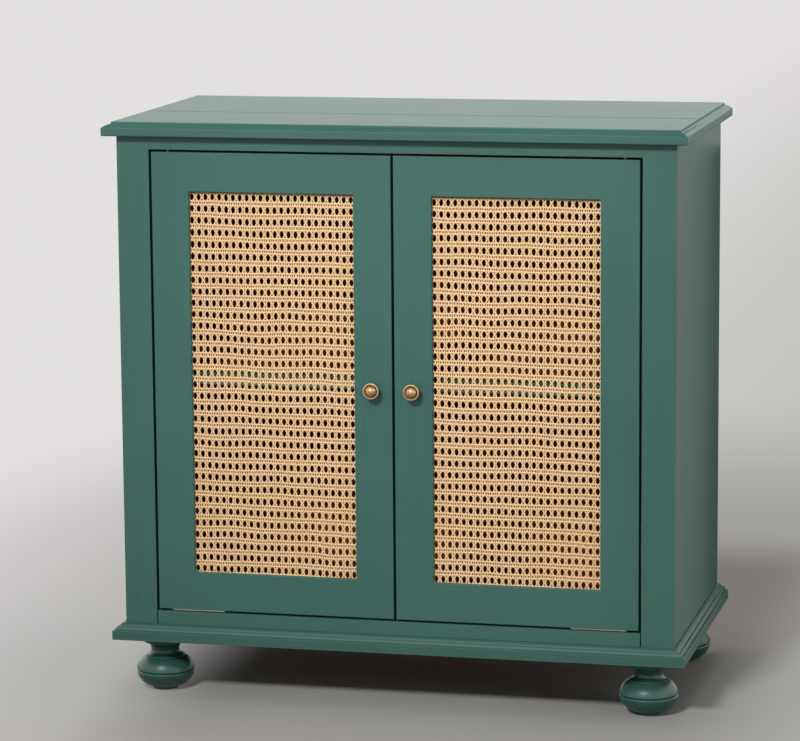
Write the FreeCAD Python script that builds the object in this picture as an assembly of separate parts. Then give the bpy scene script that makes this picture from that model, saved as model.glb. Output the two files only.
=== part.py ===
import FreeCAD, Part
import math
import os

# A record cabinet on four turned feet, with two doors of woven cane on knife hinges.
# Millimetres. +X is to the right, +Y to the back and +Z up. The origin is on the floor,
# in the middle of the width, and midway between the knobs' faces and the back.

# ---- Carcass ----
case_width = 850.0
case_depth = 446.0
side_thickness = 18.0
shelf_thickness = 18.0
lower_compartment_height = 347.5
shelf_setback = 38.0              # from the cabinet's face, behind the swing of the doors
shelf_end_gap = 1.0
shelf_back_gap = 2.0
back_thickness = 6.0
back_rebate = 9.0                 # how far the back reaches into each side
back_side_gap = 0.5
rear_rail_height = 60.0
rear_rail_thickness = 20.0

# ---- Face frame ----
frame_thickness = 20.0
stile_width = 50.0
lower_rail_height = 21.0          # the floor panel is flush with this rail
upper_rail_height = 20.5

# ---- Top ----
top_thickness = 21.0
top_overhang = 18.5
top_field_inset = 12.5            # from the outer edge to the raised field
top_fascia_height = 13.0
top_edge_round = 1.2
top_lower_round = 2.0
top_step = 3.0                    # from the sloping edge up to the raised field
top_quirk = 0.8                   # the little groove at the foot of that step
top_fullness = 0.05               # height of the slope's arc, as a share of its chord
front_board_width = 190.0         # the front one of the top's two glued boards

# ---- Plinth and base moulding ----
plinth_height = 24.5
plinth_rail_width = 105.0
base_projection = 17.5
base_fascia_height = 14.2
base_edge_round = 1.0
base_ledge = 3.1                  # width of the two flat steps
base_swell_width = 2.4
base_swell_top = 19.6
base_quirk = 1.0                  # depth and width of the little groove along the case
base_fullness = 0.12              # heights of its arcs, as shares of their chords

# ---- Feet, from the floor up ----
toe_radius = 19.5
toe_height = 4.5
bun_foot_radius = 24.0
bun_radius = 44.4
lower_bun_height = 22.5
groove_depth = 2.6
groove_width = 5.2
upper_bun_height = 18.8
shoulder_radius = 30.0
ring_radius = 28.6
ring_height = 2.0
neck_foot_radius = 27.4
neck_radius = 21.4
lower_neck_height = 8.2
upper_neck_height = 12.8
flare_radius = 31.0
collar_radius = 33.0
collar_height = 14.0
lower_bun_roundness = 0.15        # heights of the turned arcs, as shares of their chords
upper_bun_roundness = 0.13
ring_roundness = 0.4
neck_hollow = 0.13
flare_hollow = 0.15
foot_inset_side = 63.5            # from the base moulding's outer edge to the foot's middle
foot_inset_front = 68.5
bolt_radius = 4.0
bolt_length_in_foot = 45.0
bolt_length_in_plinth = 19.0

# ---- Doors ----
door_height = 702.2
door_thickness = 20.0
door_side_gap = 3.8               # at the hinges and between the doors
door_end_gap = 3.4                # above and below
door_stile_width = 57.8
door_rail_height = 59.2
cane_depth = 7.0                  # from the door's face to the cane
rebate_width = 8.0
bead_thickness = 9.0
bead_round = 4.0

# ---- Joinery ----
tenon_length = 35.0
tenon_thickness = 7.0
door_tenon_shoulder = 12.0
frame_tenon_shoulder = 5.0
joint_slack = 0.1

# ---- Cane ----
cane_pitch_across = 10.7
cane_pitch_down = 17.8
cane_first_hole_across = 2.6      # from the window's left edge to the first hole's middle
cane_first_hole_down = 9.2        # and from its top edge
cane_tuck = 6.5                   # how far the sheet reaches into the rebate
strand_thickness = 0.4
upright_strand_width = 2.0
upright_pair_spread = 3.0
level_strand_width = 2.2
level_pair_spread = 5.8
slant_strand_width = 2.2

# ---- Knobs ----
knob_reach = 22.0
knob_radius = 12.2
knob_foot_radius = 7.0
knob_foot_height = 2.0
knob_stem_radius = 4.8
knob_flare_start = 8.5
knob_rim_start = 13.5
knob_rim_end = 17.5
knob_rim_width = 2.0
knob_groove_depth = 1.4
knob_dome_radius = 8.8
knob_flare_hollow = 0.15
knob_screw_radius = 2.0
knob_screw_engagement = 9.0
knob_screw_head_radius = 4.2
knob_screw_head_height = 2.4

# ---- Knife hinges ----
hinge_pivot_from_edge = 23.5
hinge_pivot_from_face = 9.5
leaf_width = 13.0
leaf_reach = 79.5                 # from the pivot to the leaf's square end
leaf_thickness = 2.5
lower_leaf_proud = 2.2            # of the door's lower edge; the other leaves lie flush
hinge_pin_radius = 2.5
hinge_pin_clearance = 0.05
hinge_pin_end_gap = 1.0
hinge_pin_depth_in_door = 8.0
hinge_screw_places = (30.0, 66.0)

# ---- Catch ----
catch_width = 52.0
catch_depth = 14.0
catch_height = 14.0
catch_gap = 0.3
catch_block_overlap = 4.0
strike_width = 18.0
strike_height = 13.0
strike_thickness = 1.2
strike_from_edge = 4.0            # from the door's lock edge
strike_from_top = 0.5

# ---- Small hardware ----
screw_radius = 1.7
screw_head_radius = 3.4
screw_head_depth = 2.0
screw_slack = 0.1
hinge_screw_length = 11.0
top_screw_length = 32.0
plinth_screw_length = 38.0
back_screw_length = 16.0
catch_screw_length = 11.0
strike_screw_length = 9.0
top_screws_across = 3
plinth_screws_across = 3
back_screws_across = 4
counterbore_radius = 5.0
shelf_pin_radius = 2.5
shelf_pin_depth = 10.0
shelf_pin_reach = 12.0
shelf_pin_inset = 55.0

# ---- Levels and places that follow ----
bun_bottom = toe_height
groove_bottom = bun_bottom + lower_bun_height
groove_top = groove_bottom + groove_width
ring_bottom = groove_top + upper_bun_height
neck_bottom = ring_bottom + ring_height
neck_middle = neck_bottom + lower_neck_height
collar_bottom = neck_middle + upper_neck_height
foot_height = collar_bottom + collar_height
case_bottom = foot_height + plinth_height
floor_top = case_bottom + lower_rail_height
door_bottom = floor_top + door_end_gap
door_top = door_bottom + door_height
opening_top = door_top + door_end_gap
case_top = opening_top + upper_rail_height
cabinet_top = case_top + top_thickness
door_middle = (door_bottom + door_top) / 2
shelf_bottom = floor_top + lower_compartment_height

face = (knob_reach - case_depth) / 2
back = face + case_depth
half_case = case_width / 2
half_inside = half_case - side_thickness
half_opening = half_case - stile_width
panel_back = back - back_thickness
door_back = face + door_thickness

hinge_edge = -(half_opening - door_side_gap)
lock_edge = -door_side_gap / 2
window_left = hinge_edge + door_stile_width
window_right = lock_edge - door_stile_width
window_bottom = door_bottom + door_rail_height
window_top = door_top - door_rail_height
cane_front = face + cane_depth
cane_back = cane_front + 4 * strand_thickness
pivot_x = hinge_edge + hinge_pivot_from_edge
pivot_y = face + hinge_pivot_from_face
pin_top = door_bottom + hinge_pin_depth_in_door - hinge_pin_end_gap
knob_x = (window_right + lock_edge) / 2

Vector = FreeCAD.Vector
QUARTER_ROUND = (math.sqrt(2) - 1) / 2
pieces = {}


# ---- Ways of making a shape ----
def block(x0, x1, y0, y1, z0, z1):
    """A board with square edges between two corners."""
    return Part.makeBox(x1 - x0, y1 - y0, z1 - z0, Vector(x0, y0, z0))


def outline(points, place):
    """A face round the points. A third number makes the edge that leads to its point an arc:
    it is the arc's height as a share of its chord, to the right of the way round."""
    edges = []
    for start, end in zip(points[-1:] + points[:-1], points):
        p = place(start[0], start[1])
        q = place(end[0], end[1])
        if len(end) == 2:
            edges.append(Part.LineSegment(p, q).toShape())
            continue
        across = (start[0] + end[0]) / 2 + end[2] * (end[1] - start[1])
        up = (start[1] + end[1]) / 2 - end[2] * (end[0] - start[0])
        edges.append(Part.Arc(p, place(across, up), q).toShape())
    return Part.Face(Part.Wire(edges))


def turned(points):
    """A piece turned about the upright axis, from its radii and heights."""
    section = outline(points, lambda radius, height: Vector(radius, 0, height))
    return section.revolve(Vector(0, 0, 0), Vector(0, 0, 1), 360)


def aimed(shape, x, y, z, direction):
    """Carries a piece made along +Z at the origin to a place, along a direction."""
    placed = shape.copy()
    turn = FreeCAD.Rotation(Vector(0, 0, 1), direction)
    placed.Placement = FreeCAD.Placement(Vector(x, y, z), turn)
    return placed


def mirrored(shape):
    """The same piece on the cabinet's other side."""
    return shape.mirror(Vector(0, 0, 0), Vector(1, 0, 0))


def flipped(shape):
    """The same piece at the other end of the door's height."""
    return shape.mirror(Vector(0, 0, door_middle), Vector(0, 0, 1))


def group(shapes):
    return Part.makeCompound(shapes)


def screw_at(x, y, z, direction, length, slack=0.0):
    """A countersunk wood screw from its head's flat, or with slack the hole for it."""
    head = screw_head_radius + slack
    shank = screw_radius + slack
    profile = [(0, 0), (head, 0), (shank, screw_head_depth), (shank, length), (0, length)]
    return aimed(turned(profile), x, y, z, direction)


def spread(count, half_span):
    """Places spaced evenly over a span about the middle, half a space from each end."""
    return [half_span * (2 * number + 1 - count) / count for number in range(count)]


def tenons(x0, x1, y_middle, z0, z1, slack=0.0):
    """The pair of tenons on a rail's ends, or with slack the mortises for them."""
    half = tenon_thickness / 2 + slack
    reach = tenon_length + slack
    left = block(x0 - reach, x0, y_middle - half, y_middle + half, z0 - slack, z1 + slack)
    right = block(x1, x1 + reach, y_middle - half, y_middle + half, z0 - slack, z1 + slack)
    return [left, right]


UP = Vector(0, 0, 1)
DOWN = Vector(0, 0, -1)
FORWARD = Vector(0, -1, 0)
BACKWARD = Vector(0, 1, 0)


# ---- Knife hinges: one leaf is let into the frame and one into the door's end ----
def leaf(bottom):
    """A hinge leaf seen from above: round about the pivot, square at its far end."""
    half = leaf_width / 2
    plan = [(0, -half, 0.5), (leaf_reach, -half), (leaf_reach, half), (0, half)]
    return outline(plan, lambda x, y: Vector(pivot_x + x, pivot_y + y, bottom)).extrude(UP * leaf_thickness)


def upright_pin(radius, bottom, length):
    """A round rod about the door's axis."""
    return Part.makeCylinder(radius, length, Vector(pivot_x, pivot_y, bottom))


def hinge_screws(level, direction, slack=0.0):
    screws = []
    for reach in hinge_screw_places:
        screws.append(screw_at(pivot_x + reach, pivot_y, level, direction, hinge_screw_length, slack))
    return screws


def door_leaf(proud):
    """The lower leaf of the left door, and the cuts that take it, the pin and its screws."""
    bottom = door_bottom - proud
    blank = leaf(bottom)
    holes = hinge_screws(bottom, UP, screw_slack)
    bore = upright_pin(hinge_pin_radius + hinge_pin_clearance, bottom, leaf_thickness)
    pin_hole = upright_pin(
        hinge_pin_radius + hinge_pin_clearance + screw_slack, door_bottom, hinge_pin_depth_in_door)
    return blank.cut(bore).cut(group(holes)), [blank, pin_hole] + holes


frame_leaf_blank = leaf(floor_top - leaf_thickness)
frame_leaf_holes = hinge_screws(floor_top, DOWN, screw_slack)
hinge_pin = upright_pin(hinge_pin_radius, floor_top, pin_top - floor_top)
frame_leaf = frame_leaf_blank.fuse(hinge_pin).cut(group(frame_leaf_holes))
frame_hinge_cuts = []
for cut in [frame_leaf_blank] + frame_leaf_holes:
    frame_hinge_cuts += [cut, flipped(cut), mirrored(cut), mirrored(flipped(cut))]

proud_leaf, proud_leaf_cuts = door_leaf(lower_leaf_proud)
flush_leaf, flush_leaf_cuts = door_leaf(0)
door_hinge_cuts = proud_leaf_cuts + [flipped(cut) for cut in flush_leaf_cuts]

for level, shape in (("bottom", frame_leaf), ("top", flipped(frame_leaf))):
    pieces["frame_hinge_leaf_%s_left" % level] = shape
    pieces["frame_hinge_leaf_%s_right" % level] = mirrored(shape)

frame_screws = []
for screw in hinge_screws(floor_top, DOWN):
    frame_screws += [screw, flipped(screw), mirrored(screw), mirrored(flipped(screw))]
pieces["frame_hinge_screws"] = group(frame_screws)


# ---- Screws that hold the carcass together ----
top_screw_y = (face + frame_thickness / 2, panel_back - rear_rail_thickness / 2)
plinth_screw_y = (face + plinth_rail_width / 2, back - plinth_rail_width / 2)


def top_screws(slack=0.0):
    """Up through the upper rail and the rear rail into the top's two boards."""
    screws = []
    for y in top_screw_y:
        for x in spread(top_screws_across, half_opening):
            screws.append(screw_at(x, y, opening_top, UP, top_screw_length, slack))
    return screws


def plinth_screws(slack=0.0):
    """Up through the plinth's front and rear rails into the floor panel."""
    screws = []
    for y in plinth_screw_y:
        for x in spread(plinth_screws_across, half_opening):
            screws.append(screw_at(x, y, foot_height, UP, plinth_screw_length, slack))
    return screws


def back_screws(slack=0.0):
    """Through the back panel into the rear rail above and the floor panel below."""
    screws = []
    for z in (floor_top - lower_rail_height / 2, case_top - rear_rail_height / 2):
        for x in spread(back_screws_across, half_opening):
            screws.append(screw_at(x, back, z, FORWARD, back_screw_length, slack))
    return screws


pieces["top_screws"] = group(top_screws())
pieces["plinth_screws"] = group(plinth_screws())
pieces["back_panel_screws"] = group(back_screws())
top_holes = group(top_screws(screw_slack))
plinth_holes = group(plinth_screws(screw_slack))
back_holes = group(back_screws(screw_slack))


# ---- Top: two boards glued edge to edge, moulded on the front and both ends ----
def top_edge(outer):
    """The moulded edge, from its underside to the raised field, outwards from the case."""
    field = outer - top_field_inset
    slope_top = top_thickness - top_step
    return [
        (outer - top_lower_round, 0),
        (outer, top_lower_round, QUARTER_ROUND),
        (outer, top_fascia_height - top_edge_round),
        (outer - top_edge_round, top_fascia_height, QUARTER_ROUND),
        (field + top_quirk, slope_top, top_fullness),
        (field + top_quirk, slope_top - top_quirk),
        (field, slope_top - top_quirk),
        (field, top_thickness - top_edge_round),
        (field - top_edge_round, top_thickness, QUARTER_ROUND),
    ]


top_half = half_case + top_overhang
top_front = face - top_overhang
side_edge = [(-top_half, 0)] + top_edge(top_overhang + half_case) + [(-top_half, top_thickness)]
front_edge = [(-case_depth, 0)] + top_edge(top_overhang) + [(-case_depth, top_thickness)]
right_moulded = outline(side_edge, lambda x, z: Vector(x, top_front, case_top + z))
right_moulded = right_moulded.extrude(Vector(0, back - top_front, 0))
front_moulded = outline(front_edge, lambda out, z: Vector(-top_half, face - out, case_top + z))
front_moulded = front_moulded.extrude(Vector(2 * top_half, 0, 0))
whole_top = front_moulded.common(right_moulded).common(mirrored(right_moulded)).cut(top_holes)
seam = top_front + front_board_width
front_half = block(-top_half, top_half, top_front, seam, case_top, cabinet_top)
rear_half = block(-top_half, top_half, seam, back, case_top, cabinet_top)
pieces["top_board_front"] = whole_top.common(front_half)
pieces["top_board_rear"] = whole_top.common(rear_half)


# ---- Sides, floor, shelf and back ----
pin_levels = shelf_bottom - shelf_pin_radius
shelf_front = face + shelf_setback
shelf_back = panel_back - shelf_back_gap
pin_places = (shelf_front + shelf_pin_inset, shelf_back - shelf_pin_inset)


def shelf_pins(slack=0.0):
    """The two pins in the left side, or with slack the holes for them."""
    start = -half_inside - shelf_pin_depth - slack
    length = shelf_pin_depth + shelf_pin_reach + slack
    return [
        Part.makeCylinder(shelf_pin_radius + slack, length, Vector(start, y, pin_levels), Vector(1, 0, 0))
        for y in pin_places
    ]


left_pins = shelf_pins()
pieces["shelf_pins"] = group(left_pins + [mirrored(pin) for pin in left_pins])

side = block(-half_case, -half_inside, face + frame_thickness, back, case_bottom, case_top)
rebate = block(-half_inside - back_rebate, -half_inside, panel_back, back, case_bottom, case_top)
side = side.cut(rebate).cut(group(shelf_pins(joint_slack)))
pieces["side_panel_left"] = side
pieces["side_panel_right"] = mirrored(side)

floor_front = face + frame_thickness
floor_panel = block(-half_inside, half_inside, floor_front, panel_back, case_bottom, floor_top)
pieces["floor_panel"] = floor_panel.cut(plinth_holes).cut(back_holes)

half_shelf = half_inside - shelf_end_gap
shelf_top = shelf_bottom + shelf_thickness
pieces["shelf"] = block(-half_shelf, half_shelf, shelf_front, shelf_back, shelf_bottom, shelf_top)

half_back = half_inside + back_rebate - back_side_gap
back_panel = block(-half_back, half_back, panel_back, back, case_bottom, case_top)
pieces["back_panel"] = back_panel.cut(back_holes)

rear_rail_bottom = case_top - rear_rail_height
rear_rail = block(
    -half_inside, half_inside, panel_back - rear_rail_thickness, panel_back, rear_rail_bottom, case_top)
for x in spread(top_screws_across, half_opening):
    counterbore = Part.makeCylinder(
        counterbore_radius, opening_top - rear_rail_bottom, Vector(x, top_screw_y[1], rear_rail_bottom))
    rear_rail = rear_rail.cut(counterbore)
pieces["rear_top_rail"] = rear_rail.cut(top_holes).cut(back_holes)


# ---- Face frame: two full-height stiles, with the rails tenoned between them ----
frame_middle = face + frame_thickness / 2
lower_tenon = (case_bottom + frame_tenon_shoulder, floor_top - frame_tenon_shoulder)
upper_tenon = (opening_top + frame_tenon_shoulder, case_top - frame_tenon_shoulder)
stile = block(-half_case, -half_opening, face, face + frame_thickness, case_bottom, case_top)
for low, high in (lower_tenon, upper_tenon):
    stile = stile.cut(tenons(-half_opening, half_opening, frame_middle, low, high, joint_slack)[0])
pieces["face_frame_stile_left"] = stile
pieces["face_frame_stile_right"] = mirrored(stile)


def frame_rail(bottom, top, tenon):
    rail = block(-half_opening, half_opening, face, face + frame_thickness, bottom, top)
    rail = rail.fuse(tenons(-half_opening, half_opening, frame_middle, tenon[0], tenon[1]))
    return rail.cut(group(frame_hinge_cuts))


pieces["face_frame_rail_bottom"] = frame_rail(case_bottom, floor_top, lower_tenon)
pieces["face_frame_rail_top"] = frame_rail(opening_top, case_top, upper_tenon).cut(top_holes)


# ---- Plinth: four flat rails under the carcass, with a moulding mitred round them ----
foot_x = half_case + base_projection - foot_inset_side
foot_places = {
    "front": face - base_projection + foot_inset_front,
    "rear": back - foot_inset_front,
}


def foot_bolt(x, y, slack=0.0):
    """A hanger bolt, half in the foot and half in the plinth."""
    length = bolt_length_in_foot + bolt_length_in_plinth
    start = Vector(x, y, foot_height - bolt_length_in_foot)
    return Part.makeCylinder(bolt_radius + slack, length, start)


bolts = []
bolt_holes = []
for y in foot_places.values():
    for x in (-foot_x, foot_x):
        bolts.append(foot_bolt(x, y))
        bolt_holes.append(foot_bolt(x, y, joint_slack))
pieces["foot_bolts"] = group(bolts)

plinth_inner_front = face + plinth_rail_width
plinth_inner_rear = back - plinth_rail_width
plinth_front = block(-half_case, half_case, face, plinth_inner_front, foot_height, case_bottom)
plinth_rear = block(-half_case, half_case, plinth_inner_rear, back, foot_height, case_bottom)
plinth_left = block(
    -half_case, plinth_rail_width - half_case, plinth_inner_front, plinth_inner_rear,
    foot_height, case_bottom)
plinth_cuts = group(bolt_holes + plinth_screws(screw_slack))
pieces["plinth_rail_front"] = plinth_front.cut(plinth_cuts)
pieces["plinth_rail_rear"] = plinth_rear.cut(plinth_cuts)
pieces["plinth_rail_left"] = plinth_left
pieces["plinth_rail_right"] = mirrored(plinth_left)

fascia_edge = base_projection - base_edge_round
swell_foot = fascia_edge - base_ledge
swell_edge = swell_foot - base_swell_width
base_profile = [
    (0, 0),
    (base_projection, 0),
    (base_projection, base_fascia_height - base_edge_round),
    (fascia_edge, base_fascia_height, QUARTER_ROUND),
    (swell_foot, base_fascia_height),
    (swell_edge, base_swell_top, base_fullness),
    (swell_edge - base_ledge, base_swell_top),
    (base_quirk, plinth_height, base_fullness),
    (base_quirk, plinth_height - base_quirk),
    (0, plinth_height - base_quirk),
]


def mitred(length_of_moulding, plan):
    """A length of moulding cut to its mitred outline seen from above."""
    prism = outline(plan, lambda x, y: Vector(x, y, foot_height)).extrude(UP * plinth_height)
    return length_of_moulding.common(prism)


outer_half = half_case + base_projection
outer_front = face - base_projection
front_run = outline(base_profile, lambda out, up: Vector(-outer_half, face - out, foot_height + up))
front_run = front_run.extrude(Vector(2 * outer_half, 0, 0))
front_plan = [(-half_case, face), (-outer_half, outer_front), (outer_half, outer_front), (half_case, face)]
side_run = outline(base_profile, lambda out, up: Vector(-half_case - out, outer_front, foot_height + up))
side_run = side_run.extrude(Vector(0, back - outer_front, 0))
side_plan = [(-half_case, back), (-outer_half, back), (-outer_half, outer_front), (-half_case, face)]
left_moulding = mitred(side_run, side_plan)
pieces["base_moulding_front"] = mitred(front_run, front_plan)
pieces["base_moulding_left"] = left_moulding
pieces["base_moulding_right"] = mirrored(left_moulding)


# ---- Feet: turned buns with a scored line at their widest, a ring and a waisted neck ----
foot_profile = [
    (0, 0),
    (toe_radius, 0),
    (toe_radius, bun_bottom),
    (bun_foot_radius, bun_bottom),
    (bun_radius, groove_bottom, lower_bun_roundness),
    (bun_radius - groove_depth, groove_bottom + groove_width / 2, QUARTER_ROUND),
    (bun_radius, groove_top, QUARTER_ROUND),
    (shoulder_radius, ring_bottom, upper_bun_roundness),
    (ring_radius, ring_bottom),
    (ring_radius, neck_bottom, ring_roundness),
    (neck_foot_radius, neck_bottom),
    (neck_radius, neck_middle, -neck_hollow),
    (flare_radius, collar_bottom, -flare_hollow),
    (collar_radius, collar_bottom),
    (collar_radius, foot_height),
    (0, foot_height),
]
foot = turned(foot_profile)
for row, y in foot_places.items():
    for side_name, x in (("left", -foot_x), ("right", foot_x)):
        placed_foot = aimed(foot, x, y, 0, UP)
        pieces["foot_%s_%s" % (row, side_name)] = placed_foot.cut(foot_bolt(x, y, joint_slack))


# ---- Catch: two magnets in one case, on a block behind the upper rail ----
catch_front = door_back + strike_thickness + catch_gap
half_catch = catch_width / 2
half_block = half_catch + catch_block_overlap
catch_back = catch_front + catch_depth
catch_bottom = opening_top - catch_height


def catch_screws(slack=0.0):
    y = catch_front + catch_depth / 2
    return [screw_at(x, y, catch_bottom, UP, catch_height + catch_screw_length, slack)
            for x in (-half_catch / 2, half_catch / 2)]


catch_block = block(
    -half_block, half_block, face + frame_thickness, catch_back, opening_top, case_top)
catch_case = block(-half_catch, half_catch, catch_front, catch_back, catch_bottom, opening_top)
pieces["catch_block"] = catch_block.cut(group(catch_screws(screw_slack)))
pieces["magnetic_catch"] = catch_case.cut(group(catch_screws(screw_slack)))
pieces["catch_screws"] = group(catch_screws())


# ---- Doors: the left one is made, and the right one is its mirror image ----
rebate_cut = block(
    window_left - rebate_width, window_right + rebate_width, cane_front, door_back,
    window_bottom - rebate_width, window_top + rebate_width)
door_tenon_middle = face + door_thickness / 2
lower_door_tenon = (door_bottom + door_tenon_shoulder, window_bottom - door_tenon_shoulder)
upper_door_tenon = (window_top + door_tenon_shoulder, door_top - door_tenon_shoulder)
knob_bore = Part.makeCylinder(
    knob_screw_radius + screw_slack, door_thickness, Vector(knob_x, face, door_middle), BACKWARD)

strike_right = lock_edge - strike_from_edge
strike_left = strike_right - strike_width
strike_top = door_top - strike_from_top
strike_middle = (strike_left + strike_right) / 2
strike_level = strike_top - strike_height / 2


def strike_screw(slack=0.0):
    return screw_at(
        strike_middle, door_back + strike_thickness, strike_level, FORWARD, strike_screw_length, slack)


def door_stile(x0, x1, which):
    stile_blank = block(x0, x1, face, door_back, door_bottom, door_top)
    cuts = [rebate_cut, knob_bore, strike_screw(screw_slack)] + door_hinge_cuts
    for low, high in (lower_door_tenon, upper_door_tenon):
        cuts.append(tenons(window_left, window_right, door_tenon_middle, low, high, joint_slack)[which])
    return stile_blank.cut(group(cuts))


def door_rail(bottom, top, tenon):
    rail = block(window_left, window_right, face, door_back, bottom, top)
    rail = rail.cut(rebate_cut)
    rail = rail.fuse(tenons(window_left, window_right, door_tenon_middle, tenon[0], tenon[1]))
    return rail.cut(group(door_hinge_cuts))


# ---- Cane beads: a rounded strip along each side of the rebate, mitred at the corners ----
bead_outer_x0 = window_left - rebate_width + joint_slack
bead_outer_x1 = window_right + rebate_width - joint_slack
bead_outer_z0 = window_bottom - rebate_width + joint_slack
bead_outer_z1 = window_top + rebate_width - joint_slack
bead_width = rebate_width - joint_slack
bead_back = cane_back + bead_thickness
bead_profile = [
    (0, cane_back),
    (bead_width, cane_back),
    (bead_width, bead_back - bead_round),
    (bead_width - bead_round, bead_back, QUARTER_ROUND),
    (0, bead_back),
]


def bead_prism(corners):
    prism = outline(corners, lambda x, z: Vector(x, cane_back, z))
    return prism.extrude(BACKWARD * bead_thickness)


def bead_run(place, along):
    return outline(bead_profile, place).extrude(along)


def cane_beads():
    """Upright and level beads; each pair is the same strip turned to face inwards."""
    height = Vector(0, 0, bead_outer_z1 - bead_outer_z0)
    width = Vector(bead_outer_x1 - bead_outer_x0, 0, 0)
    upright = bead_run(lambda w, y: Vector(bead_outer_x0 + w, y, bead_outer_z0), height)
    level = bead_run(lambda w, y: Vector(bead_outer_x0, y, bead_outer_z0 + w), width)
    left_end = [(bead_outer_x0, bead_outer_z0), (window_left, window_bottom),
                (window_left, window_top), (bead_outer_x0, bead_outer_z1)]
    lower_end = [(bead_outer_x0, bead_outer_z0), (bead_outer_x1, bead_outer_z0),
                 (window_right, window_bottom), (window_left, window_bottom)]
    left_bead = upright.common(bead_prism(left_end))
    lower_bead = level.common(bead_prism(lower_end))
    middle = Vector((window_left + window_right) / 2, 0, 0)
    right_bead = left_bead.mirror(middle, Vector(1, 0, 0))
    return group([left_bead, right_bead, lower_bead, flipped(lower_bead)])


# ---- Cane: pairs of upright and level strands, and two sets of slanting ones ----
def cane_sheet(left_edge):
    """The woven sheet behind the window whose left edge is given, as four layers of strands."""
    x0 = left_edge - cane_tuck
    x1 = left_edge + window_right - window_left + cane_tuck
    z0 = window_bottom - cane_tuck
    z1 = window_top + cane_tuck
    hole_x = left_edge + cane_first_hole_across
    hole_z = window_top - cane_first_hole_down
    strands = []

    def layer(number):
        return cane_front + number * strand_thickness

    first = math.floor((x0 - hole_x) / cane_pitch_across)
    last = math.ceil((x1 - hole_x) / cane_pitch_across)
    for column in range(first, last):
        for shift in (-upright_pair_spread / 2, upright_pair_spread / 2):
            low = hole_x + (column + 0.5) * cane_pitch_across + shift - upright_strand_width / 2
            high = low + upright_strand_width
            if low >= x0 and high <= x1:
                strands.append(block(low, high, layer(3), layer(4), z0, z1))

    first = math.floor((z0 - hole_z) / cane_pitch_down)
    last = math.ceil((z1 - hole_z) / cane_pitch_down)
    for row in range(first, last):
        for shift in (-level_pair_spread / 2, level_pair_spread / 2):
            low = hole_z + (row + 0.5) * cane_pitch_down + shift - level_strand_width / 2
            high = low + level_strand_width
            if low >= z0 and high <= z1:
                strands.append(block(x0, x1, layer(2), layer(3), low, high))

    sheet = block(x0, x1, layer(0), layer(2), z0, z1)
    middle_x = (x0 + x1) / 2 - hole_x
    middle_z = (z0 + z1) / 2 - hole_z
    half_length = math.hypot(x1 - x0, z1 - z0) / 2
    half_turns = (x1 - x0) / cane_pitch_across / 2 + (z1 - z0) / cane_pitch_down / 2
    steepness = 1 / cane_pitch_across ** 2 + 1 / cane_pitch_down ** 2
    least_volume = slant_strand_width * strand_thickness * cane_pitch_down
    for number, lean in enumerate((1, -1)):
        middle_turn = middle_x / cane_pitch_across + lean * middle_z / cane_pitch_down
        angle = math.degrees(math.atan2(lean * cane_pitch_down, cane_pitch_across))
        corner = Vector(-half_length, layer(number), -slant_strand_width / 2)
        blank = Part.makeBox(2 * half_length, strand_thickness, slant_strand_width, corner)
        blank.rotate(Vector(0, 0, 0), Vector(0, 1, 0), angle)
        first = math.ceil(middle_turn - half_turns - 0.5)
        last = math.floor(middle_turn + half_turns - 0.5)
        for turn in range(first, last + 1):
            offset = (turn + 0.5 - middle_turn) / steepness
            x = hole_x + middle_x + offset / cane_pitch_across
            z = hole_z + middle_z + lean * offset / cane_pitch_down
            strand = blank.copy()
            strand.translate(Vector(x, 0, z))
            strand = strand.common(sheet)
            if strand.Volume > least_volume:
                strands.append(strand.Solids[0])
    return group(strands)


# ---- Knob: turned brass with a rim, a groove and a domed middle, on a waisted stem ----
dome_start = knob_rim_end - knob_groove_depth
dome_rise = knob_reach - dome_start
dome_turn = 2 * math.atan(dome_rise / knob_dome_radius)     # from its rim to its top, seen from its centre
knob_profile = [
    (0, 0),
    (knob_foot_radius, 0),
    (knob_foot_radius, knob_foot_height),
    (knob_stem_radius, knob_foot_height),
    (knob_stem_radius, knob_flare_start),
    (knob_radius, knob_rim_start, -knob_flare_hollow),
    (knob_radius, knob_rim_end - knob_rim_width / 2),
    (knob_radius - knob_rim_width / 2, knob_rim_end, QUARTER_ROUND),
    (knob_radius - knob_rim_width, knob_rim_end),
    (knob_dome_radius, dome_start),
    (0, knob_reach, math.tan(dome_turn / 4) / 2),
]
knob_screw_profile = [
    (0, 0),
    (knob_screw_head_radius, 0),
    (knob_screw_head_radius, knob_screw_head_height),
    (knob_screw_radius, knob_screw_head_height),
    (knob_screw_radius, knob_screw_head_height + door_thickness + knob_screw_engagement),
    (0, knob_screw_head_height + door_thickness + knob_screw_engagement),
]
knob_hole = Part.makeCylinder(knob_screw_radius + screw_slack, knob_screw_engagement + joint_slack)
knob = aimed(turned(knob_profile).cut(knob_hole), knob_x, face, door_middle, FORWARD)
knob_screw_start = door_back + knob_screw_head_height
knob_screw = aimed(turned(knob_screw_profile), knob_x, knob_screw_start, door_middle, FORWARD)

strike = block(
    strike_left, strike_right, door_back, door_back + strike_thickness,
    strike_top - strike_height, strike_top)
door_screws = []
for screw in hinge_screws(door_bottom - lower_leaf_proud, UP):
    door_screws.append(screw)
for screw in hinge_screws(door_bottom, UP):
    door_screws.append(flipped(screw))
door_screws.append(strike_screw())

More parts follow.
